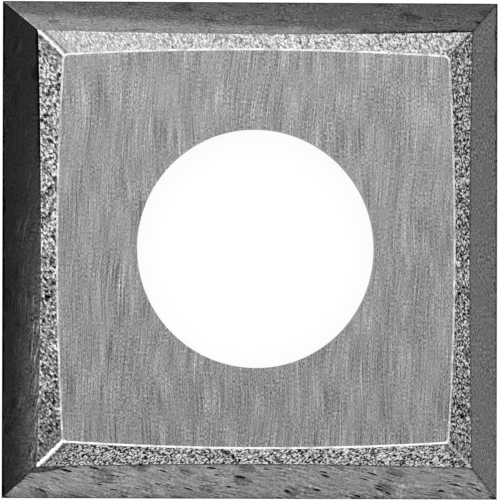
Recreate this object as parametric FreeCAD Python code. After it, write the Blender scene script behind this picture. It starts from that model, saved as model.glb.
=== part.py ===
import FreeCAD, Part
import math
import os

# Square reversible carbide blade: one pressed, sintered and ground piece of tungsten carbide.
#
# The wide face lies at Z = 0 and its four sides are the cutting edges. From each edge a ground
# relief flank leans in as it rises. Above the flank the blank keeps its as-sintered bevel, which
# leans in further and bulges a little in plan, as the pressing die left it. The narrow seat face
# at the top is ground flat and has a fine break all round. The screw goes in from the wide face,
# where the hole is countersunk.
#
# Millimetres and degrees. The origin is the centre of the wide face, on the axis of the hole.
# +Z points from the wide face to the seat face. X and Y are square to the cutting edges.

# Plate
side = 14.0  # across opposite cutting edges
thickness = 2.0  # wide face to seat face

# Ground relief flanks
relief_angle = 28.6  # from the plate's normal

# As-sintered bevels
pressed_angle = 62.3  # from the plate's normal
seat_inset = 1.57  # cutting edge to a corner of the seat face, in plan
side_bow = 0.17  # how far a side of the seat face bulges beyond the line through its corners
ridge_break = 0.055  # taken off each ridge where two bevels meet, in plan

# Seat face
seat_edge_break = 0.03

# Screw hole
hole_diameter = 6.7
countersink_diameter = 9.8  # on the wide face
countersink_angle = 90.0  # included angle of the screw head

# How far a cutting tool runs past the face it starts from
overrun = 1.0

# Worked out from the sizes above
origin = FreeCAD.Vector(0, 0, 0)
up = FreeCAD.Vector(0, 0, 1)
relief_slope = math.tan(math.radians(relief_angle))
pressed_slope = math.tan(math.radians(pressed_angle))
sink_slope = math.tan(math.radians(countersink_angle / 2))
seat_half = side / 2 - seat_inset
bow_radius = (seat_half**2 + side_bow**2) / (2 * side_bow)
bow_offset = bow_radius - side_bow - seat_half
foot_radius = bow_radius + thickness * pressed_slope
foot_half = (math.sqrt(2 * foot_radius**2 - bow_offset**2) - bow_offset) / 2
hole_radius = hole_diameter / 2
sink_radius = countersink_diameter / 2
sink_depth = (sink_radius - hole_radius) / sink_slope


def square_frustum(bottom_half, top_half):
    """A block as thick as the plate, with four flat sides that lean in to the top."""
    corners = [(1, 1), (-1, 1), (-1, -1), (1, -1)]
    bottom = [FreeCAD.Vector(x * bottom_half, y * bottom_half, 0) for x, y in corners]
    top = [FreeCAD.Vector(x * top_half, y * top_half, thickness) for x, y in corners]
    outlines = [bottom, top]
    for i in range(len(corners)):
        outlines.append([bottom[i - 1], bottom[i], top[i], top[i - 1]])
    faces = [Part.Face(Part.makePolygon(points + points[:1])) for points in outlines]
    return Part.makeSolid(Part.makeShell(faces))


def pressed_blank():
    """The sintered blank. Each bevel is a slice of one large cone, so its side is an arc in plan."""
    bevel = Part.makeCone(foot_radius, bow_radius, thickness, FreeCAD.Vector(bow_offset, 0, 0), up)
    blank = bevel
    for turn in (90, 180, 270):
        turned = bevel.copy()
        turned.rotate(origin, up, turn)
        blank = blank.common(turned)
    return blank


def ridge_cutter():
    """What is left inside the flats that break the four ridges between the pressed bevels."""
    diagonal = math.sqrt(2)
    cutter = square_frustum(foot_half * diagonal - ridge_break, seat_half * diagonal - ridge_break)
    cutter.rotate(origin, up, 45)
    return cutter


def relief_cutter():
    """What is left inside the four ground flanks."""
    return square_frustum(side / 2, side / 2 - thickness * relief_slope)


def screw_hole():
    """The space of the screw: a short straight land, and the countersink in the wide face."""
    start = FreeCAD.Vector(0, 0, -overrun)
    land = Part.makeCylinder(hole_radius, thickness + 2 * overrun, start, up)
    sink_start = sink_radius + overrun * sink_slope
    sink = Part.makeCone(sink_start, hole_radius, sink_depth + overrun, start, up)
    return land.fuse(sink)


def seat_outline(body):
    """The outer edges of the seat face."""
    seat = max(body.Faces, key=lambda face: face.CenterOfMass.z)
    return seat.OuterWire.Edges


def blade():
    """The finished blade."""
    body = pressed_blank().common(ridge_cutter()).common(relief_cutter())
    body = body.cut(screw_hole()).removeSplitter()
    return body.makeChamfer(seat_edge_break, seat_outline(body))


os.makedirs("parts", exist_ok=True)
blade().exportStep("parts/blade.step")
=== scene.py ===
import math
import statistics

import bmesh
import bpy
from bpy.props import FloatProperty, FloatVectorProperty, IntProperty, PointerProperty
from mathutils import Matrix, Vector, noise


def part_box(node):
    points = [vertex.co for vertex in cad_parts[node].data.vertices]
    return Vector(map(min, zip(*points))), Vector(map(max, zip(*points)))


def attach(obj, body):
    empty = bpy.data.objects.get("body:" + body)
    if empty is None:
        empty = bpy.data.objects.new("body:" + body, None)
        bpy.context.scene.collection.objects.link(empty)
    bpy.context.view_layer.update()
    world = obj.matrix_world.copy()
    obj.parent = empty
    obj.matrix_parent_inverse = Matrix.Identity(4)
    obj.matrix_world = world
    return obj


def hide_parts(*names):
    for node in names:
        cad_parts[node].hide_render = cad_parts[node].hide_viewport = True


bl_info = {
    "name": "Reversible Carbide Blade",
    "version": (1, 0, 0),
    "blender": (4, 5, 0),
    "location": "3D View > Sidebar > Blade",
    "description": "Builds a square reversible carbide blade and the studio it is shown in",
    "category": "Add Mesh",
}

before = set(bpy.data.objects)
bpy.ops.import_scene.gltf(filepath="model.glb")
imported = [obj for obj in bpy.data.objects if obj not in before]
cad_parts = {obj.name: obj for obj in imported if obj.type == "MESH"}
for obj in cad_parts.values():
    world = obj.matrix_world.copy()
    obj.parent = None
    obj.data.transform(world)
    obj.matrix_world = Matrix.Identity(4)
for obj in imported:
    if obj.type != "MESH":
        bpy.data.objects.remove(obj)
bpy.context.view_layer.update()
blade_low, blade_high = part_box("blade")

MM = 0.001
SIDES = ("right", "top", "left", "bottom")

# Each side runs from its start to its end: the upright ones downwards, the level ones to the right
SIDE_RUNS = {"right": (0, -1, 0), "top": (1, 0, 0), "left": (0, -1, 0), "bottom": (1, 0, 0)}

# The corners at a side's start and end, counted from the top right one against the clock
CORNERS_OF = {"right": (0, 3), "top": (1, 0), "left": (1, 2), "bottom": (2, 3)}

# The finishes of the faces: those that differ from side to side, partly in painted light and shade, and then
# the others
FINISHES = [zone + "_" + side for zone in ("flank", "bevel", "edge") for side in SIDES]
FINISHES += ["seat", "hole", "wide"]

SHARP = math.radians(12)  # edges that bend more are shaded sharp
NOISE_SPREAD = 9.0  # what the noise texture is stretched by, to spread by about 1
EYE_POWER = 2.2  # tones raised to one part of this look evenly spaced
FINE_WAVES = 0.12 * MM  # size of the waves on the lines of the flanks


# Properties


def length(name, text, default):
    return FloatProperty(name=name, description=text, default=default, min=0, precision=5, unit="LENGTH")


def angle(name, text, degrees):
    return FloatProperty(name=name, description=text, default=math.radians(degrees), subtype="ANGLE")


def amount(name, text, default):
    return FloatProperty(name=name, description=text, default=default, min=0)


def tone(name, text, default):
    return FloatProperty(name=name, description=text, default=default, min=0, max=1, subtype="FACTOR")


def per_side(name, text, default):
    """Four values, for the right, top, left and bottom side."""
    return FloatVectorProperty(name=name, description=text, default=default, size=4, min=0)


def per_side_turn(name, text, degrees):
    """Four angles, for the right, top, left and bottom side, clockwise from upright."""
    turns = tuple(math.radians(turn) for turn in degrees)
    return FloatVectorProperty(name=name, description=text, default=turns, size=4, unit="ROTATION")


def per_corner(name, text, default):
    """Four values, for the top right, top left, bottom left and bottom right corner."""
    return FloatVectorProperty(name=name, description=text, default=default, size=4, min=0)


class BladeShape(bpy.types.PropertyGroup):
    side: length("Side", "Across opposite cutting edges", blade_high.x - blade_low.x)
    thickness: length("Thickness", "Wide face to seat face", blade_high.z - blade_low.z)
    relief_angle: angle("Relief angle", "Ground flank to the plate's normal", 28.6)
    pressed_angle: angle("Pressed angle", "Pressed bevel to the plate's normal", 62.3)
    seat_inset: length("Seat inset", "Cutting edge to a corner of the seat face", 1.57 * MM)
    side_bow: length("Side bow", "Bulge of each side of the seat face", 0.17 * MM)
    ridge_break: length("Ridge break", "Taken off each ridge between the bevels", 0.055 * MM)
    seat_edge_break: length("Seat edge break", "Width of the break round the seat face", 0.03 * MM)
    hole_diameter: length("Hole", "Diameter of the screw hole", 6.7 * MM)
    countersink_diameter: length("Countersink", "Diameter on the wide face", 9.8 * MM)
    countersink_angle: angle("Countersink angle", "Included angle of the screw head", 90)


class BladeGrain(bpy.types.PropertyGroup):
    side_points: IntProperty(name="Side points", description="Points along half a side", default=328, min=16)
    ridge_points: IntProperty(name="Ridge points", description="Points across half a ridge", default=3, min=1)
    bevel_rows: IntProperty(name="Bevel rows", description="Rows of faces across a bevel", default=27, min=4)
    size: length("Grain size", "Size of the pressed granules", 0.05 * MM)
    height: length("Grain height", "How high the granules are", 0.006 * MM)
    ridge_height: per_corner(
        "Grain on the ridges", "Share of the height left on a ridge", (1, 0.1, 0.15, 0.8)
    )


class BladeFinish(bpy.types.PropertyGroup):
    # The seat tones make the seat face darker towards its bottom side: painted shade.
    seat_start: tone("Seat face at the top", "Ground seat face, at its top side", 0.305)
    seat_end: tone("Seat face at the bottom", "Ground seat face, at its bottom side", 0.224)
    seat_contrast: tone("Seat contrast", "Contrast of the streaks on the seat face", 0.115)
    wide: tone("Wide face", "Lapped rake face", 0.34)
    hole: tone("Hole", "Wall of the screw hole", 0.2)
    # The flank tones differ from side to side as painted light and shade: the flanks are ground alike, and
    # the left one is painted darkest.
    outer_start: per_side("Flank, outer start", "Tone beside the cutting edge", (0.16, 0.166, 0.0195, 0.212))
    outer_end: per_side("Flank, outer end", "Tone beside the cutting edge", (0.17, 0.105, 0.024, 0.217))
    rise: per_side("Flank rise", "How much lighter it gets inwards", (0.1, 0.3, 0.2, 0.12))
    inner_start: per_side("Flank, inner start", "Tone beside the bevel", (0.16, 0.315, 0.03, 0.278))
    inner_end: per_side("Flank, inner end", "Tone beside the bevel", (0.17, 0.3, 0.225, 0.257))
    step_start: per_side("Flank, step at the start", "Where the inner tone begins", (0.5, 0.43, 1.08, 0.2))
    step_end: per_side("Flank, step at the end", "Where the inner tone begins", (0.5, 1.13, 0.98, 0.2))
    step_width: per_side("Flank, step width", "How wide the change of tone is", (0.6, 0.26, 1.65, 0.2))
    lay_turn: per_side_turn("Flank lay", "Direction of the grinding lay", (-4, 94, 9, 104))
    lay_contrast: per_side("Flank contrast", "Contrast of the grinding lay", (0.074, 0.078, 0.016, 0.112))
    inner_contrast: per_side(
        "Flank, inner contrast", "Times stronger beside the bevel", (1.0, 1.3, 14.0, 1.0)
    )
    speckle: per_side("Flank speckle", "Share of short marks in the lay", (0.9, 0.7, 0.82, 0.5))
    dragged: per_side("Flank drag marks", "Strength of the dark drag marks", (0.2, 0.65, 1.0, 0.6))
    scratched: per_side("Flank scratches", "Strength of the light scratches", (0.2, 0.3, 1.7, 0.3))
    pitted: per_side("Pits", "Share of places that hold a pit", (0.0, 0.01, 0.015, 0.15))
    bend: per_side("Flank bend", "How far the lay wanders, in mm", (0.02, 0.03, 0.05, 0.08))
    # The cutting edge, relief line and mitre shares paint shade along these edges and creases, and a
    # highlight where a share is above 1.
    cutting_start: per_side("Cutting edge, start", "Share of the tone along it", (0.1, 0.4, 0.02, 0.55))
    cutting_end: per_side("Cutting edge, end", "Share of the tone along it", (0.8, 0.5, 0.02, 0.6))
    cutting_width: per_side("Cutting edge, width", "Share of the flank", (0.1, 0.05, 0.065, 0.05))
    relief_start: per_side("Relief line, start", "Share of the tone along it", (0.4, 0.85, 0.05, 0.8))
    relief_end: per_side("Relief line, end", "Share of the tone along it", (0.5, 0.12, 0.95, 0.85))
    relief_turn: per_side("Relief line, change", "Where along it the tone changes", (0.5, 0.7, 0.36, 0.5))
    relief_width: per_side("Relief line, width", "Share of the flank", (0.08, 0.12, 0.11, 0.1))
    mitre_start: per_side("Mitre, start", "Share of the tone on the mitre", (0.6, 1.8, 0.3, 0.6))
    mitre_end: per_side("Mitre, end", "Share of the tone on the mitre", (0.4, 0.4, 0.3, 0.5))
    missed_start: length("Missed corner from", "Left of the middle, where it is deepest", 6.2 * MM)
    missed_end: length("Missed corner to", "Left of the middle, where it runs out", 5.25 * MM)
    missed_depth: tone("Missed corner depth", "Share of the flank it reaches down", 0.19)
    # The bevel tones differ from side to side as painted light and shade: the top bevel is painted lightest.
    bevel_start: per_side("Bevel, start", "Pressed bevel at the start", (0.31, 0.7, 0.505, 0.375))
    bevel_end: per_side("Bevel, end", "Pressed bevel at the end", (0.265, 0.63, 0.175, 0.37))
    granule: per_side("Granules", "Width of the drawn granules, in mm", (0.046, 0.054, 0.068, 0.046))
    # The glinting granules are painted glints.
    glinting: per_side("Polished granules", "Share that catch the light", (0.07, 0.0, 0.05, 0.15))
    grain_start: per_side("Grain, start", "Contrast of the granules at the start", (0.38, 0.07, 0.35, 0.42))
    grain_end: per_side("Grain, end", "Contrast of the granules at the end", (0.38, 0.28, 0.225, 0.5))
    grain_turn: per_side_turn("Grain lay", "Direction they are drawn out in", (-12, -26, -38, 72))
    # The rim share above 1 is a painted highlight along the bevel's outer rim.
    rim_highlight: per_side("Bevel rim", "Share of the tone on the outer rim", (1.35, 1.15, 1.9, 1.4))
    # The ridge tones are painted light and shade on the real broken ridges: high for a highlight, low for
    # shade.
    ridge: per_corner("Ridge", "Tone of the broken ridges", (0.1, 1.0, 1.0, 0.57))
    ridge_width: per_corner("Ridge width", "Width of the painted ridges in mm", (0.053, 0.06, 0.095, 0.055))
    ridge_calm: per_corner("Calm beside the ridge", "Share of the grain left there", (0.8, 0.38, 0.45, 0.6))
    # The seat edge tones are a painted highlight along the real break round the seat face.
    edge: per_side("Seat edge", "Break round the seat face", (0.64, 0.86, 0.57, 0.95))


class StudioSettings(bpy.types.PropertyGroup):
    from_left: angle("From the left", "Camera off the plate's normal, to the left", 4.9)
    from_below: angle("From below", "Camera off the plate's normal, to the bottom", 1.5)
    roll: angle("Roll", "Turn of the camera about its own axis", 0.126)
    lens: FloatProperty(name="Lens", description="Focal length", default=1200, unit="CAMERA", min=50)
    view_width: length("View width", "Width of the picture at the cutting edges", 14.12 * MM)
    overhead: amount("Overhead lamp", "Brightness of the soft lamp above", 0.75)
    top: amount("Top lamp", "Brightness of the low lamp beyond the top side", 1.0)
    left: amount("Left lamp", "Brightness of the low lamp beyond the left side", 1.0)
    room: amount("Room", "Brightness of the room around", 0.5)


# Shape


def crossing(before, low, high):
    """The value between low and high up to which before() holds."""
    for _ in range(40):
        middle = (low + high) / 2
        if before(middle):
            low = middle
        else:
            high = middle
    return low


class BladeLines:
    """The lines where the blade's faces meet, each as points (across, along, height).

    Each line runs from the middle of a side to a corner.
    """

    def __init__(self, shape, grain):
        self.half = shape.side / 2
        self.top = shape.thickness
        self.relief = math.tan(shape.relief_angle)
        self.pressed = math.tan(shape.pressed_angle)
        self.seat_half = self.half - shape.seat_inset
        self.bow = shape.side_bow
        self.bow_radius = (self.seat_half**2 + self.bow**2) / (2 * self.bow)
        self.bow_offset = self.bow_radius - self.bow - self.seat_half
        self.ridge_break = shape.ridge_break
        self.side_points = grain.side_points
        self.ridge_points = grain.ridge_points
        hole = shape.hole_diameter / 2
        sink = shape.countersink_diameter / 2
        sink_depth = (sink - hole) / math.tan(shape.countersink_angle / 2)
        edge = shape.seat_edge_break
        self.cutting_edge = [Vector((self.half, self.half * i / self.side_points, 0)) for i in self.steps()]
        self.relief_line = self.flank_top()
        self.edge_outer = self.bevel_ring(self.top - edge * math.cos(shape.pressed_angle), 0)
        self.edge_inner = self.bevel_ring(self.top, edge)
        self.hole_rim = self.circle(hole, self.top)
        self.land_end = self.circle(hole, sink_depth)
        self.sink_mouth = self.circle(sink, 0)

    def steps(self):
        return range(self.side_points + 1)

    def bow_reach(self, height):
        return self.bow_radius + (self.top - height) * self.pressed

    def bevel_across(self, along, height):
        return math.sqrt(self.bow_reach(height) ** 2 - along**2) - self.bow_offset

    def ridge_sum(self, height):
        """Across plus along on the flat that breaks a ridge, at a height."""
        corner = (math.sqrt(2 * self.bow_reach(height) ** 2 - self.bow_offset**2) - self.bow_offset) / 2
        return 2 * corner - self.ridge_break * math.sqrt(2)

    def flank_across(self, height):
        return self.half - height * self.relief

    def with_ridge(self, side_point, crease, corner):
        """The side's own points up to the crease beside the ridge, and then the ridge's, up to the corner."""
        side = self.side_points - self.ridge_points
        points = [side_point(crease.y * i / side) for i in range(side)]
        points += [crease.lerp(corner, i / self.ridge_points) for i in range(self.ridge_points + 1)]
        return points

    def bevel_ring(self, height, inset):
        total = self.ridge_sum(height) - inset * math.sqrt(2)
        along = crossing(lambda y: self.bevel_across(y, height) - inset + y < total, 0, self.half)
        crease = Vector((total - along, along, height))
        corner = Vector((total / 2, total / 2, height))

        def on_bevel(y):
            return Vector((self.bevel_across(y, height) - inset, y, height))

        return self.with_ridge(on_bevel, crease, corner)

    def flank_top(self):
        def cut(along):
            height = crossing(lambda z: self.flank_across(z) < self.bevel_across(along, z), 0, self.top)
            return Vector((self.flank_across(height), along, height))

        def past_flat(height):
            return self.ridge_sum(height) - self.flank_across(height)

        high = crossing(lambda z: self.flank_across(z) < self.bevel_across(past_flat(z), z), 0, self.top)
        low = crossing(lambda z: 2 * self.flank_across(z) < self.ridge_sum(z), 0, self.top)
        crease = Vector((self.flank_across(high), past_flat(high), high))
        corner = Vector((self.flank_across(low), self.flank_across(low), low))
        return self.with_ridge(cut, crease, corner)

    def circle(self, radius, height):
        turns = [math.pi / 4 * i / self.side_points for i in self.steps()]
        return [Vector((radius * math.cos(turn), radius * math.sin(turn), height)) for turn in turns]


def even(count):
    return [i / count for i in range(count)]


class BladeSkin:
    """The closed skin between the blade's lines, as rows of points from one line to the next."""

    def __init__(self, lines, grain):
        self.lines = lines
        zones = [
            ("flank", lines.cutting_edge, lines.relief_line, even(2)),
            ("bevel", lines.relief_line, lines.edge_outer, even(grain.bevel_rows)),
            ("edge", lines.edge_outer, lines.edge_inner, even(2)),
            ("seat", lines.edge_inner, lines.hole_rim, even(2)),
            ("land", lines.hole_rim, lines.land_end, even(1)),
            ("sink", lines.land_end, lines.sink_mouth, even(1)),
            ("wide", lines.sink_mouth, lines.cutting_edge, even(1)),
        ]
        self.rows = []
        for number, (zone, start, end, shares) in enumerate(zones):
            self.rows += [(zone, start, end, share, number + share) for share in shares]
        self.around = 8 * lines.side_points

    def point(self, row, step):
        """Where a row is, a number of steps round the blade from the middle of its right side."""
        _, start, end, share, _ = self.rows[row]
        per_side = 2 * self.lines.side_points
        side = (step + self.lines.side_points) // per_side
        offset = step - side * per_side
        place = start[abs(offset)].lerp(end[abs(offset)], share)
        if offset < 0:
            place.y = -place.y
        return Matrix.Rotation(side * math.pi / 2, 3, "Z") @ place

    def finish(self, face, row_of):
        """Which of the finishes a face has."""
        rows = sorted(vert[row_of] for vert in face.verts)
        row = rows[0] if rows[-1] - rows[0] < 2 else rows[-1]
        zone = self.rows[row][0]
        if zone in ("flank", "bevel", "edge"):
            middle = face.calc_center_median()
            side = round(math.atan2(middle.y, middle.x) / (math.pi / 2)) % 4
            return FINISHES.index(zone + "_" + SIDES[side])
        return FINISHES.index({"land": "hole", "sink": "hole"}.get(zone, zone))


def granules(place, size):
    """How high the pressed granules stand at a place: a dome each, at uneven heights, on a slow swell."""
    swell_size, fine_size = 5 * size, 0.6 * size
    apart = 7.3  # takes the centres so far apart that each granule has a height of its own
    elsewhere = Vector((7, 3, 5))
    near, centres = noise.voronoi(place / size)
    dome = max(0.0, 1.0 - near[0] ** 2)
    lift = noise.cell(centres[0] * apart)
    swell = noise.noise(place / swell_size)
    fine = noise.noise(place / fine_size + elsewhere)
    return 0.6 * dome + 0.4 * lift + 0.12 * swell + 0.3 * fine


def spun_skin(skin):
    """Spins one line of points through a part of the turn, and turns copies of it into the whole ring."""
    parts = 16
    mesh = bmesh.new()
    row_of = mesh.verts.layers.int.new("row")
    first_step = -skin.lines.side_points
    line = [mesh.verts.new(skin.point(row, first_step)) for row in range(len(skin.rows))]
    for row, vert in enumerate(line):
        vert[row_of] = row
    edges = [mesh.edges.new((line[row - 1], line[row])) for row in range(len(line))]
    turning = {"cent": (0, 0, 0), "axis": (0, 0, 1)}
    part = 2 * math.pi / parts
    bmesh.ops.spin(mesh, geom=line + edges, angle=part, steps=skin.around // parts, **turning)
    made = mesh.verts[:] + mesh.edges[:] + mesh.faces[:]
    rest = 2 * math.pi - part
    bmesh.ops.spin(mesh, geom=made, angle=rest, steps=parts - 1, use_duplicate=True, **turning)
    bmesh.ops.remove_doubles(mesh, verts=mesh.verts, dist=0.001 * MM)
    return mesh


def row_hold(share):
    """How much of the grain is left at a share of the way up the bevel: half at its foot, none at its top."""
    foot_hold, fade = 0.5, 6
    return foot_hold if share == 0 else min(1.0, (1 - share) * fade)


def ridge_hold(place, grain, width):
    """How much of the grain is left at a place, beside a ridge and on it."""
    corner = int(math.atan2(place.y, place.x) // (math.pi / 2)) % 4
    beside = min(1.0, abs(abs(place.x) - abs(place.y)) / width)
    left = grain.ridge_height[corner]
    return left + (1 - left) * beside**2


def blade_mesh(shape, grain):
    skin = BladeSkin(BladeLines(shape, grain), grain)
    mesh = spun_skin(skin)
    row_of = mesh.verts.layers.int["row"]
    course_of = mesh.verts.layers.float.new("course")
    grain_of = mesh.verts.layers.float.new("grain")
    for vert in mesh.verts:
        turn = math.atan2(vert.co.y, vert.co.x) / (2 * math.pi)
        vert.co = skin.point(vert[row_of], round(turn * skin.around))
        vert[course_of] = skin.rows[vert[row_of]][4]
    bmesh.ops.recalc_face_normals(mesh, faces=mesh.faces)
    mesh.normal_update()
    grainy = [vert for vert in mesh.verts if skin.rows[vert[row_of]][0] in ("bevel", "edge")]
    heights = [granules(vert.co, grain.size) for vert in grainy]
    middle, spread = statistics.mean(heights), statistics.pstdev(heights)
    moves = []
    for vert, height in zip(grainy, heights):
        vert[grain_of] = (height - middle) / spread
        zone, _, _, share, _ = skin.rows[vert[row_of]]
        if zone == "bevel":
            hold = row_hold(share) * ridge_hold(vert.co, grain, 3 * shape.ridge_break)
            moves.append((vert, vert.normal * vert[grain_of] * grain.height * hold))
    for vert, move in moves:
        vert.co += move
    for face in mesh.faces:
        face.material_index = skin.finish(face, row_of)
        face.smooth = True
    mesh.normal_update()
    bevels = {FINISHES.index("bevel_" + side) for side in SIDES}
    for edge in mesh.edges:
        grown = {face.material_index for face in edge.link_faces} <= bevels
        edge.smooth = grown or edge.calc_face_angle() < SHARP
    data = bpy.data.meshes.new("reversible_blade")
    mesh.to_mesh(data)
    mesh.free()
    return data


# Finish


def add_node(tree, kind, inputs=(), **settings):
    """Adds a node, sets it up, and gives each named input a value or another node's socket."""
    node = tree.nodes.new(kind)
    for name, value in settings.items():
        setattr(node, name, value)
    for name, value in dict(inputs).items():
        if isinstance(value, bpy.types.NodeSocket):
            tree.links.new(value, node.inputs[name])
        else:
            node.inputs[name].default_value = value
    return node


def math_node(tree, operation, *values):
    return add_node(tree, "ShaderNodeMath", enumerate(values), operation=operation).outputs[0]


def smooth_range(tree, value, low, high):
    """0 up to low, 1 from high on, and smooth between them."""
    inputs = {"Value": value, "From Min": low, "From Max": high}
    return add_node(tree, "ShaderNodeMapRange", inputs, interpolation_type="SMOOTHSTEP").outputs["Result"]


def even_noise(tree, vector, detail):
    """Noise about 0 that spreads by about 1."""
    inputs = {"Vector": vector, "Scale": 1.0, "Detail": detail, "Roughness": 0.6}
    value = add_node(tree, "ShaderNodeTexNoise", inputs).outputs["Fac"]
    return math_node(tree, "MULTIPLY_ADD", value, NOISE_SPREAD, -NOISE_SPREAD / 2)


def uneven_cells(tree, place):
    """The outputs of a pattern of uneven cells, each about one unit wide."""
    inputs = {"Vector": place, "Scale": 1.0}
    return add_node(tree, "ShaderNodeTexVoronoi", inputs, voronoi_dimensions="2D").outputs


def stretched(tree, vector, across, along):
    """The X and Y of a vector, in units of two lengths."""
    apart = add_node(tree, "ShaderNodeSeparateXYZ", {0: vector}).outputs
    x = math_node(tree, "DIVIDE", apart["X"], across)
    y = math_node(tree, "DIVIDE", apart["Y"], along)
    return add_node(tree, "ShaderNodeCombineXYZ", {0: x, 1: y}).outputs[0]


def new_group(name, output, output_kind="NodeSocketFloat", **inputs):
    """A node group with one output: its tree, its inputs' sockets and its output's socket."""
    tree = bpy.data.node_groups.new(name, "ShaderNodeTree")
    for label, default in inputs.items():
        kind = "NodeSocketVector" if isinstance(default, tuple) else "NodeSocketFloat"
        tree.interface.new_socket(label, in_out="INPUT", socket_type=kind).default_value = default
    tree.interface.new_socket(output, in_out="OUTPUT", socket_type=output_kind)
    given = tree.nodes.new("NodeGroupInput").outputs
    return tree, given, tree.nodes.new("NodeGroupOutput").inputs[output]


def grinding_lay():
    """Streaks of a grinding wheel that ran along Y, with short speckles among them."""
    tree, given, result = new_group(
        "Grinding lay", "Pattern", Vector=(0, 0, 0), Width=0.03 * MM, Length=0.8 * MM, Speckle=0.7
    )
    long = even_noise(tree, stretched(tree, given["Vector"], given["Width"], given["Length"]), 1.0)
    short_length = math_node(tree, "MULTIPLY", given["Width"], 2.1)
    short = even_noise(tree, stretched(tree, given["Vector"], given["Width"], short_length), 1.0)
    rest = math_node(tree, "SUBTRACT", 1.0, given["Speckle"])
    long_part = math_node(tree, "MULTIPLY", long, rest)
    tree.links.new(math_node(tree, "MULTIPLY_ADD", short, given["Speckle"], long_part), result)
    return tree


def scratches():
    """A few long scratches along Y, some lighter and some darker, with nothing between them."""
    tree, given, result = new_group(
        "Scratches", "Pattern", Vector=(0, 0, 0), Width=0.03 * MM, Length=2.0 * MM, Rare=1.2
    )
    height = even_noise(tree, stretched(tree, given["Vector"], given["Width"], given["Length"]), 0.0)
    beyond = math_node(tree, "SUBTRACT", math_node(tree, "ABSOLUTE", height), given["Rare"])
    depth = math_node(tree, "MAXIMUM", beyond, 0.0)
    tree.links.new(math_node(tree, "MULTIPLY", depth, math_node(tree, "SIGN", height)), result)
    return tree


def drawn_granules():
    """Granules drawn out along Y, each of an uneven tone that is partly its own and partly painted light on
    its facet, domed, with painted shade in the gaps between them.
    """
    tree, given, result = new_group(
        "Drawn granules", "Pattern", Vector=(0, 0, 0), Width=0.06 * MM, Length=0.08 * MM
    )
    dome_top, dome_fall = 0.8, 2.0
    level_share, noise_share = 1.1, 0.8
    mean_sum = 1.5
    place = stretched(tree, given["Vector"], given["Width"], given["Length"])
    cell = uneven_cells(tree, place)
    channels = {0: cell["Color"], 1: (1, 1, 1)}
    channel_sum = add_node(tree, "ShaderNodeVectorMath", channels, operation="DOT_PRODUCT").outputs["Value"]
    # Each granule's level stands partly for the light on its facet: painted light and shade.
    level = math_node(tree, "SUBTRACT", channel_sum, mean_sum)
    # The dome is lightest in a granule's middle and darkest in the gaps: painted shade.
    dome = math_node(tree, "MULTIPLY_ADD", cell["Distance"], -dome_fall, dome_top)
    smooth = math_node(tree, "MULTIPLY_ADD", even_noise(tree, place, 1.0), noise_share, dome)
    tree.links.new(math_node(tree, "MULTIPLY_ADD", level, level_share, smooth), result)
    return tree


def slow_change():
    """Goes from 0 to 1 between two places along a direction."""
    tree, given, result = new_group(
        "Slow change", "Share", Vector=(0, 0, 0), Direction=(0, 1, 0), Start=0.0, End=1.0
    )
    inputs = {0: given["Vector"], 1: given["Direction"]}
    along = add_node(tree, "ShaderNodeVectorMath", inputs, operation="DOT_PRODUCT").outputs["Value"]
    inputs = {"Value": along, "From Min": given["Start"], "From Max": given["End"]}
    tree.links.new(add_node(tree, "ShaderNodeMapRange", inputs).outputs["Result"], result)
    return tree


def thin_line():
    """1 where a value is at the middle of a line, and 0 from a width away."""
    tree, given, result = new_group(
        "Thin line", "Share", Value=0.0, Middle=0.0, Width=1.0, Softness=0.7
    )
    away = math_node(tree, "ABSOLUTE", math_node(tree, "SUBTRACT", given["Value"], given["Middle"]))
    near = math_node(tree, "SUBTRACT", 1.0, math_node(tree, "DIVIDE", away, given["Width"]))
    tree.links.new(smooth_range(tree, near, 0.0, given["Softness"]), result)
    return tree


def corner_distance():
    """How far a place is from the blade's nearest diagonal plane, where the sides meet."""
    tree, given, result = new_group("Corner distance", "Distance", Vector=(0, 0, 0))
    apart = add_node(tree, "ShaderNodeSeparateXYZ", {0: given["Vector"]}).outputs
    sizes = [math_node(tree, "ABSOLUTE", apart[axis]) for axis in ("X", "Y")]
    apart_by = math_node(tree, "SUBTRACT", *sizes)
    tree.links.new(math_node(tree, "ABSOLUTE", apart_by), result)
    return tree


def pits():
    """Small long pits, strewn about, that lie along Y."""
    tree, given, result = new_group(
        "Pits", "Share", Vector=(0, 0, 0), Width=0.08 * MM, Length=0.5 * MM, Filled=0.3, Size=0.3
    )
    smallest, softness = 0.3, 0.07
    cell = uneven_cells(tree, stretched(tree, given["Vector"], given["Width"], given["Length"]))
    channels = add_node(tree, "ShaderNodeSeparateColor", {0: cell["Color"]}).outputs
    chosen = math_node(tree, "LESS_THAN", channels["Red"], given["Filled"])
    reach = math_node(tree, "MULTIPLY", given["Size"], math_node(tree, "ADD", channels["Green"], smallest))
    inside = smooth_range(tree, math_node(tree, "SUBTRACT", reach, cell["Distance"]), 0.0, softness)
    tree.links.new(math_node(tree, "MULTIPLY", chosen, inside), result)
    return tree


def mottled():
    """A tone made lighter and darker by a pattern, in steps that look even to the eye."""
    tree, given, result = new_group(
        "Mottled", "Color", "NodeSocketColor", Tone=0.3, Pattern=0.0, Contrast=0.1
    )
    darkest, lightest = 0.02, 1.0
    seen = math_node(tree, "POWER", given["Tone"], 1 / EYE_POWER)
    moved = math_node(tree, "MULTIPLY_ADD", given["Pattern"], given["Contrast"], seen)
    held = math_node(tree, "MINIMUM", math_node(tree, "MAXIMUM", moved, darkest), lightest)
    tree.links.new(math_node(tree, "POWER", held, EYE_POWER), result)
    return tree


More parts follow.
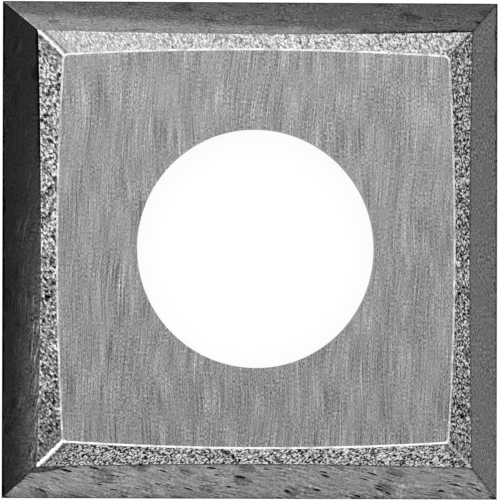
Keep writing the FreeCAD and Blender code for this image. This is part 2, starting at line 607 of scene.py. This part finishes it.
class Surface:
    """One material of the blade, and the sockets that its tone is made from."""

    def __init__(self, groups, name, roughness, edge_tint=1.0):
        self.groups = groups
        self.material = bpy.data.materials.new(name)
        self.material.use_nodes = True
        self.tree = self.material.node_tree
        self.shader = self.tree.nodes["Principled BSDF"]
        self.shader.inputs["Metallic"].default_value = 1.0
        self.shader.inputs["Roughness"].default_value = roughness
        self.shader.inputs["Specular Tint"].default_value = (edge_tint, edge_tint, edge_tint, 1.0)
        self.place = add_node(self.tree, "ShaderNodeTexCoord").outputs["Object"]

    def attribute(self, name):
        return add_node(self.tree, "ShaderNodeAttribute", attribute_name=name).outputs["Fac"]

    def math(self, operation, *values):
        return math_node(self.tree, operation, *values)

    def between(self, share, low, high):
        return add_node(self.tree, "ShaderNodeMix", {0: share, 2: low, 3: high}).outputs[0]

    def noise(self, size, detail=1.0):
        inputs = {0: self.place, "Scale": 1 / size}
        scaled = add_node(self.tree, "ShaderNodeVectorMath", inputs, operation="SCALE").outputs[0]
        return even_noise(self.tree, scaled, detail)

    def moved(self, vector, shift):
        return add_node(self.tree, "ShaderNodeVectorMath", {0: vector, 1: shift}, operation="ADD").outputs[0]

    def turned(self, turn):
        """The place turned back, so that what runs at that turn clockwise from upright runs along Y."""
        inputs = {"Vector": self.place, "Rotation": (0, 0, turn)}
        return add_node(self.tree, "ShaderNodeMapping", inputs).outputs[0]

    def bent(self, vector, size, reach):
        """A vector moved along X by slow noise, so that what runs along Y wanders."""
        shift = self.math("MULTIPLY", self.noise(size, 0.0), reach)
        return self.moved(vector, add_node(self.tree, "ShaderNodeCombineXYZ", {"X": shift}).outputs[0])

    def wavy(self, value, size, reach):
        """A value with noise of a size added to it."""
        return self.math("MULTIPLY_ADD", self.noise(size), reach, value)

    def patchy(self, value, size, amount, detail=1.0):
        """A value made stronger and weaker in patches of a size."""
        patches = self.math("MULTIPLY_ADD", self.noise(size, detail), amount, 1.0)
        return self.math("MULTIPLY", value, patches)

    def shaded(self, tone, mask, share):
        """A tone with only a share of it left where a mask is 1."""
        return self.math("MULTIPLY", tone, self.between(mask, 1.0, share))

    def use(self, group, **inputs):
        return add_node(self.tree, "ShaderNodeGroup", inputs, node_tree=self.groups[group]).outputs[0]

    def along(self, side, reach):
        """From 0 at a side's start to 1 at its end."""
        return self.use("Slow change", Vector=self.place, Direction=SIDE_RUNS[side], Start=-reach, End=reach)

    def colour(self, tone, pattern, contrast):
        colour = self.use("Mottled", Tone=tone, Pattern=pattern, Contrast=contrast)
        self.tree.links.new(colour, self.shader.inputs["Base Color"])

    def bump(self, height, distance):
        inputs = {"Height": height, "Distance": distance, "Strength": 1.0}
        bump = add_node(self.tree, "ShaderNodeBump", inputs).outputs[0]
        self.tree.links.new(bump, self.shader.inputs["Normal"])


class SideSurface(Surface):
    """A material of one side, with values that change from the side's start to its end."""

    def __init__(self, groups, zone, side, half, **looks):
        super().__init__(groups, zone + "_" + SIDES[side], **looks)
        self.side = side
        self.share = self.along(SIDES[side], half)
        self.course = self.attribute("course")

    def run(self, starts, ends):
        """This side's value, from the one at its start to the one at its end."""
        return self.between(self.share, starts[self.side], ends[self.side])

    def corner_run(self, values, unit=1.0):
        """The corners' value, from the one at this side's start to the one at its end."""
        start, end = CORNERS_OF[SIDES[self.side]]
        return self.between(self.share, values[start] * unit, values[end] * unit)


def flank_lay(surface, finish):
    """Where a flank's grinding lay runs, the lay, and the lay with its drag marks and scratches."""
    side = surface.side
    place = surface.bent(surface.turned(finish.lay_turn[side]), size=2.6 * MM, reach=finish.bend[side] * MM)
    speckle = finish.speckle[side]
    lay = surface.use("Grinding lay", Vector=place, Width=0.04 * MM, Length=0.5 * MM, Speckle=speckle)
    marks = surface.use("Scratches", Vector=place, Width=0.055 * MM, Length=0.7 * MM, Rare=1.2)
    dark, light = surface.math("MINIMUM", marks, 0.0), surface.math("MAXIMUM", marks, 0.0)
    pattern = surface.math("MULTIPLY_ADD", dark, finish.dragged[side], lay)
    pattern = surface.math("MULTIPLY_ADD", light, finish.scratched[side], pattern)
    return place, lay, surface.patchy(pattern, size=0.8 * MM, amount=0.25)


def flank_step(surface, finish):
    """0 on the outer part of a flank and 1 on the part beside the bevel, with a wavy border."""
    reach = finish.step_width[surface.side] / 2
    border = surface.run(finish.step_start, finish.step_end)
    wavy = surface.wavy(surface.course, size=0.9 * MM, reach=0.03)
    wavy = surface.wavy(wavy, size=FINE_WAVES, reach=0.03)
    return smooth_range(surface.tree, surface.math("SUBTRACT", wavy, border), -reach, reach)


def ground_tone(surface, finish, step, late):
    """A flank's tone: an outer one that gets lighter towards the bevel, and an inner one beside it. Their
    levels by side are painted light and shade, darkest on the left flank.

    late is 0 on the side's first stretch and 1 on its last.
    """
    side = surface.side
    rise = surface.math("MULTIPLY_ADD", surface.course, finish.rise[side], 1 - finish.rise[side] / 2)
    outer = surface.math("MULTIPLY", surface.run(finish.outer_start, finish.outer_end), rise)
    inner = surface.between(late, finish.inner_start[side], finish.inner_end[side])
    return surface.between(step, outer, inner)


def with_flank_lines(surface, finish, tone):
    """A flank's tone with dark lines of painted shade where it ends, along the cutting edge, relief line and
    mitres, and a painted highlight where a share is above 1.
    """
    side = surface.side
    width = finish.cutting_width[side]
    cutting_width = surface.wavy(width, size=0.5 * MM, reach=width / 4)
    cutting_edge = surface.use(
        "Thin line", Value=surface.course, Middle=0.0, Width=cutting_width, Softness=0.4
    )
    width = finish.relief_width[side]
    relief_width = surface.wavy(width, size=FINE_WAVES, reach=width / 6)
    relief_line = surface.use("Thin line", Value=surface.course, Middle=1.0, Width=relief_width)
    turn, turn_reach = finish.relief_turn[side], 0.15
    turned = smooth_range(surface.tree, surface.share, turn - turn_reach, turn + turn_reach)
    distance = surface.use("Corner distance", Vector=surface.place)
    ragged = surface.wavy(distance, size=FINE_WAVES, reach=0.01 * MM)
    mitre = surface.use("Thin line", Value=ragged, Middle=0.0, Width=0.07 * MM)
    lines = (
        (cutting_edge, surface.run(finish.cutting_start, finish.cutting_end)),
        (relief_line, surface.between(turned, finish.relief_start[side], finish.relief_end[side])),
        (mitre, surface.run(finish.mitre_start, finish.mitre_end)),
    )
    for mask, share in lines:
        tone = surface.shaded(tone, mask, share)
    return tone


def with_pits(surface, finish, tone, place):
    """A flank's tone with wide darker patches, and with pits darkened as painted shade, each with a painted
    glint on one side.
    """
    filled = finish.pitted[surface.side]
    pit = {"Width": 0.08 * MM, "Length": 0.4 * MM, "Filled": filled, "Size": 0.36}
    dark_patch = {"Width": 0.3 * MM, "Length": 0.8 * MM, "Filled": 2.4 * filled, "Size": 0.4}
    pits_left, pit_glint_share, dark_patches_left = 0.04, 1.5, 0.6
    # Painted shade in the pits, and a painted glint beside each, moved to one side.
    dark_pits = surface.use("Pits", Vector=place, **pit)
    pit_glints = surface.use("Pits", Vector=surface.moved(place, (0.02 * MM, 0, 0)), **pit)
    dark_patches = surface.use("Pits", Vector=place, **dark_patch)
    for mask, share in ((dark_patches, dark_patches_left), (pit_glints, pit_glint_share), (dark_pits, pits_left)):
        tone = surface.shaded(tone, mask, share)
    return tone


def with_missed_corner(surface, finish, tone):
    """The bottom flank's tone with the sliver at its left end that the wheel left unground, darkened with a
    dark outline as painted shade of its steeper slope.
    """
    sliver_left, outline_left = 0.33, 0.35
    share = surface.use(
        "Slow change",
        Vector=surface.place,
        Direction=SIDE_RUNS["bottom"],
        Start=-finish.missed_start,
        End=-finish.missed_end,
    )
    reach = surface.math("SUBTRACT", 1.0, surface.math("MULTIPLY", share, share))
    border = surface.math("MULTIPLY_ADD", reach, -finish.missed_depth, 1.0)
    sliver = smooth_range(surface.tree, surface.math("SUBTRACT", surface.course, border), -0.01, 0.02)
    outline = surface.use("Thin line", Value=surface.course, Middle=border, Width=0.05)
    return surface.shaded(surface.shaded(tone, sliver, sliver_left), outline, outline_left)


def flank_surface(groups, finish, side, half):
    """A ground relief flank: an outer and an inner tone set by side as painted light and shade, streaks, pits
    with painted shade and glints, and dark lines of painted shade where it ends.
    """
    surface = SideSurface(groups, "flank", side, half, roughness=0.3, edge_tint=0.5)
    place, lay, pattern = flank_lay(surface, finish)
    step = flank_step(surface, finish)
    late = smooth_range(surface.tree, surface.share, 0.15, 0.85)
    tone = ground_tone(surface, finish, step, late)
    tone = with_flank_lines(surface, finish, tone)
    tone = with_pits(surface, finish, tone, place)
    if SIDES[side] == "bottom":
        tone = with_missed_corner(surface, finish, tone)
    strength = surface.between(surface.math("MULTIPLY", step, late), 1.0, finish.inner_contrast[side])
    surface.colour(tone, surface.math("MULTIPLY", pattern, strength), finish.lay_contrast[side])
    surface.bump(lay, 0.0004 * MM)
    return surface.material


def with_ridges(surface, finish, tone):
    """A bevel's tone with the broken ridges at its ends painted as highlights and shade, a painted shade line
    beside each bright ridge, and darker bevel beside the ridges.

    The second value says how much of the granules is left there.
    """
    shade_line_tone, shade_line_width, shade_line_gap = 0.19, 0.05 * MM, 0.08 * MM
    beside_least, dark_ridge_grain = 0.7, 0.5
    distance = surface.use("Corner distance", Vector=surface.place)
    ragged = surface.wavy(distance, size=0.08 * MM, reach=0.014 * MM)
    width = surface.corner_run(finish.ridge_width, MM)
    # Painted light and shade on the ridge: high for a highlight, low for shade.
    ridge_light_and_shade = surface.corner_run(finish.ridge)
    calm_left = surface.corner_run(finish.ridge_calm)
    ridge = surface.use("Thin line", Value=ragged, Middle=0.0, Width=width, Softness=0.3)
    shade_line_middle = surface.math("ADD", width, shade_line_gap)
    shade_line = surface.use("Thin line", Value=ragged, Middle=shade_line_middle, Width=shade_line_width)
    beside = surface.use("Thin line", Value=distance, Middle=0.0, Width=0.7 * MM)
    beside_left = surface.math("MULTIPLY_ADD", calm_left, 1 - beside_least, beside_least)
    tone = surface.shaded(tone, beside, beside_left)
    tone = surface.between(surface.math("MULTIPLY", shade_line, ridge_light_and_shade), tone, shade_line_tone)
    tone = surface.between(ridge, tone, ridge_light_and_shade)
    on_ridge = surface.math("MULTIPLY_ADD", ridge_light_and_shade, -dark_ridge_grain, dark_ridge_grain)
    return tone, surface.between(ridge, surface.between(beside, 1.0, calm_left), on_ridge)


def bevel_surface(groups, finish, side, half):
    """An as-sintered bevel: a tone by side that is painted light and shade, granules with painted light and
    shade, painted glints on some, a painted highlight on the rim, and the ridges at its ends.
    """
    drawn_share, standing_share = 0.85, 0.4
    glint_tone, glint_grain = 0.8, 0.4
    surface = SideSurface(groups, "bevel", side, half, roughness=0.4)
    width = finish.granule[side] * MM
    place = surface.turned(finish.grain_turn[side])
    drawn = surface.use("Drawn granules", Vector=place, Width=width, Length=1.65 * width)
    # Granules that stand higher in the mesh are made lighter: painted light on their tops.
    standing = surface.math("MULTIPLY", surface.attribute("grain"), standing_share)
    grain = surface.math("MULTIPLY_ADD", drawn, drawn_share, standing)
    # A painted highlight along the outer rim, in glints where the granules stand.
    rim = surface.use("Thin line", Value=surface.course, Middle=1.0, Width=0.11)
    rim_glints = surface.math("MULTIPLY", rim, smooth_range(surface.tree, drawn, -1.8, 0.6))
    # Painted glints on a share of the granules.
    glint_granule = {"Width": 0.06 * MM, "Length": 0.07 * MM, "Size": 0.6}
    glinting = surface.use("Pits", Vector=place, Filled=finish.glinting[side], **glint_granule)
    tone = surface.shaded(surface.run(finish.bevel_start, finish.bevel_end), rim_glints, finish.rim_highlight[side])
    tone = surface.between(glinting, tone, glint_tone)
    tone, calm = with_ridges(surface, finish, tone)
    calm = surface.shaded(calm, glinting, glint_grain)
    calm = surface.patchy(calm, size=0.3 * MM, amount=0.18, detail=2.0)
    contrast = surface.run(finish.grain_start, finish.grain_end)
    surface.colour(tone, surface.math("MULTIPLY", grain, calm), contrast)
    surface.bump(surface.math("MULTIPLY", drawn, calm), 0.0015 * MM)
    return surface.material


def edge_surface(groups, finish, side):
    """The break round the seat face: a real break, painted as a thin bright highlight that is brighter and
    duller by turns.
    """
    surface = Surface(groups, "edge_" + SIDES[side], roughness=0.35)
    wear_and_glint = surface.math("ADD", surface.noise(0.05 * MM), surface.noise(0.3 * MM))
    surface.colour(finish.edge[side], wear_and_glint, contrast=0.07)
    return surface.material


def seat_surface(groups, finish, half):
    """The ground seat face, with upright streaks and painted shade that makes it a little darker towards its
    bottom side.
    """
    broad_share, deep_share = 0.21, 1.4
    surface = Surface(groups, "seat_face", roughness=0.38)
    tone = surface.between(surface.along("left", half), finish.seat_start, finish.seat_end)
    place = surface.bent(surface.turned(math.radians(2)), size=2.5 * MM, reach=0.05 * MM)
    lay = surface.use("Grinding lay", Vector=place, Width=0.034 * MM, Length=1.2 * MM, Speckle=0.6)
    deep = surface.use("Scratches", Vector=place, Width=0.032 * MM, Length=2.2 * MM, Rare=1.9)
    broad = surface.use("Grinding lay", Vector=place, Width=0.5 * MM, Length=2.5 * MM, Speckle=0.3)
    marks = surface.math("MULTIPLY_ADD", deep, deep_share, surface.math("MULTIPLY", broad, broad_share))
    pattern = surface.math("ADD", surface.patchy(lay, size=1.2 * MM, amount=0.15), marks)
    surface.colour(tone, pattern, finish.seat_contrast)
    surface.bump(lay, 0.0003 * MM)
    return surface.material


def hole_surface(groups, finish):
    """The wall of the screw hole and its countersink, as it was pressed: fine grain on slow patches."""
    surface = Surface(groups, "hole_wall", roughness=0.4)
    grain = surface.noise(0.05 * MM)
    surface.colour(finish.hole, surface.wavy(grain, size=0.6 * MM, reach=0.5), contrast=0.04)
    surface.bump(grain, 0.0006 * MM)
    return surface.material


def wide_surface(groups, finish):
    """The lapped wide face: streaks slantwise, all one way."""
    surface = Surface(groups, "wide_face", roughness=0.4)
    slant = surface.turned(math.radians(35))
    lay = surface.use("Grinding lay", Vector=slant, Width=0.05 * MM, Length=1.2 * MM, Speckle=0.4)
    surface.colour(finish.wide, lay, contrast=0.04)
    surface.bump(lay, 0.0004 * MM)
    return surface.material


def blade_materials(finish, half):
    """The materials, in the order of FINISHES."""
    makers = (
        grinding_lay, scratches, drawn_granules, slow_change, thin_line, corner_distance, pits, mottled
    )
    made = [maker() for maker in makers]
    groups = {group.name: group for group in made}
    sides = range(len(SIDES))
    materials = [flank_surface(groups, finish, side, half) for side in sides]
    materials += [bevel_surface(groups, finish, side, half) for side in sides]
    materials += [edge_surface(groups, finish, side) for side in sides]
    materials.append(seat_surface(groups, finish, half))
    materials.append(hole_surface(groups, finish))
    materials.append(wide_surface(groups, finish))
    return materials


# Operators


class OBJECT_OT_carbide_blade(bpy.types.Operator):
    """Builds the blade in one closed piece, with its granular bevels and ground faces"""

    bl_idname = "object.carbide_blade"
    bl_label = "Carbide Blade"
    bl_options = {"UNDO"}

    def execute(self, context):
        scene = context.scene
        data = blade_mesh(scene.blade_shape, scene.blade_grain)
        for material in blade_materials(scene.blade_finish, scene.blade_shape.side / 2):
            data.materials.append(material)
        blade = bpy.data.objects.new("reversible_blade", data)
        scene.collection.objects.link(blade)
        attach(blade, "root")
        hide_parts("blade")
        return {"FINISHED"}


def facing(towards):
    """The turn of a camera or lamp whose back points towards a direction, with its top to the blade's top."""
    back = Vector(towards).normalized()
    right = Vector((0, 1, 0)).cross(back).normalized()
    return Matrix((right, back.cross(right), back)).transposed()


def area_lamp(scene, name, place, size, brightness):
    """A square lamp that looks at the blade and shines with a plain brightness, whatever its size."""
    light = bpy.data.lights.new(name, "AREA")
    light.size = size
    light.energy = brightness * math.pi * size**2
    lamp = bpy.data.objects.new(name, light)
    lamp.matrix_world = Matrix.Translation(place) @ facing(place).to_4x4()
    scene.collection.objects.link(lamp)


def seen_background(tree):
    """1 for what looks straight at the floor, or by way of metal or glass."""
    path = add_node(tree, "ShaderNodeLightPath").outputs
    seen = math_node(tree, "ADD", path["Is Camera Ray"], path["Is Glossy Ray"])
    return math_node(tree, "MINIMUM", math_node(tree, "ADD", seen, path["Is Transmission Ray"]), 1.0)


class SCENE_OT_blade_studio(bpy.types.Operator):
    """Sets up the floor, the lamps, the room and the camera"""

    bl_idname = "scene.blade_studio"
    bl_label = "Blade Studio"
    bl_options = {"UNDO"}

    def execute(self, context):
        scene = context.scene
        studio = scene.blade_studio
        self.floor(scene)
        self.room(scene, studio)
        area_lamp(scene, "overhead_lamp", place=(0.01, 0.0, 0.25), size=0.36, brightness=studio.overhead)
        area_lamp(scene, "top_lamp", place=(-0.08, 0.24, 0.16), size=0.18, brightness=studio.top)
        area_lamp(scene, "left_lamp", place=(-0.225, -0.12, 0.16), size=0.18, brightness=studio.left)
        self.camera(scene, studio)
        return {"FINISHED"}

    def floor(self, scene):
        """A white floor a hair below the wide face. From underneath it is clear, so the wide face shows."""
        tone, glow = 0.3, 0.83
        sheet = bmesh.new()
        just_below = Matrix.Translation((0, 0, -0.02 * MM))
        bmesh.ops.create_grid(sheet, x_segments=1, y_segments=1, size=1.0, matrix=just_below)
        data = bpy.data.meshes.new("floor")
        sheet.to_mesh(data)
        sheet.free()
        floor = bpy.data.objects.new("floor", data)
        scene.collection.objects.link(floor)
        material = bpy.data.materials.new("white_floor")
        material.use_nodes = True
        tree = material.node_tree
        shader = tree.nodes["Principled BSDF"]
        shader.inputs["Base Color"].default_value = (tone, tone, tone, 1)
        shader.inputs["Roughness"].default_value = 0.9
        shader.inputs["Emission Color"].default_value = (1, 1, 1, 1)
        strength = math_node(tree, "MULTIPLY", seen_background(tree), glow)
        tree.links.new(strength, shader.inputs["Emission Strength"])
        backfacing = add_node(tree, "ShaderNodeNewGeometry").outputs["Backfacing"]
        tree.links.new(math_node(tree, "SUBTRACT", 1.0, backfacing), shader.inputs["Alpha"])
        data.materials.append(material)

    def room(self, scene, studio):
        world = bpy.data.worlds.new("room")
        scene.world = world
        world.use_nodes = True
        background = world.node_tree.nodes["Background"]
        background.inputs["Color"].default_value = (1, 1, 1, 1)
        background.inputs["Strength"].default_value = studio.room

    def camera(self, scene, studio):
        data = bpy.data.cameras.new("camera")
        data.lens = studio.lens
        camera = bpy.data.objects.new("camera", data)
        towards = Vector((-math.tan(studio.from_left), -math.tan(studio.from_below), 1)).normalized()
        distance = studio.lens / data.sensor_width * studio.view_width
        turn = facing(towards) @ Matrix.Rotation(studio.roll, 3, "Z")
        camera.matrix_world = Matrix.Translation(towards * distance) @ turn.to_4x4()
        scene.collection.objects.link(camera)
        scene.camera = camera
        scene.view_settings.view_transform = "Standard"


class VIEW3D_PT_blade(bpy.types.Panel):
    bl_label = "Carbide Blade"
    bl_space_type = "VIEW_3D"
    bl_region_type = "UI"
    bl_category = "Blade"

    def draw(self, context):
        for group in PROPERTIES:
            settings = getattr(context.scene, group)
            box = self.layout.box()
            for name in settings.bl_rna.properties.keys():
                if name not in ("rna_type", "name"):
                    box.prop(settings, name)
        for operator in OPERATORS:
            self.layout.operator(operator.bl_idname)


PROPERTIES = {
    "blade_shape": BladeShape,
    "blade_grain": BladeGrain,
    "blade_finish": BladeFinish,
    "blade_studio": StudioSettings,
}
OPERATORS = (OBJECT_OT_carbide_blade, SCENE_OT_blade_studio)


def register():
    for name, settings in PROPERTIES.items():
        bpy.utils.register_class(settings)
        setattr(bpy.types.Scene, name, PointerProperty(type=settings))
    for cls in (*OPERATORS, VIEW3D_PT_blade):
        bpy.utils.register_class(cls)


def unregister():
    for cls in (VIEW3D_PT_blade, *reversed(OPERATORS)):
        bpy.utils.unregister_class(cls)
    for name, settings in PROPERTIES.items():
        delattr(bpy.types.Scene, name)
        bpy.utils.unregister_class(settings)


def main():
    register()
    bpy.ops.object.carbide_blade()
    bpy.ops.scene.blade_studio()


if __name__ == "__main__":
    main()
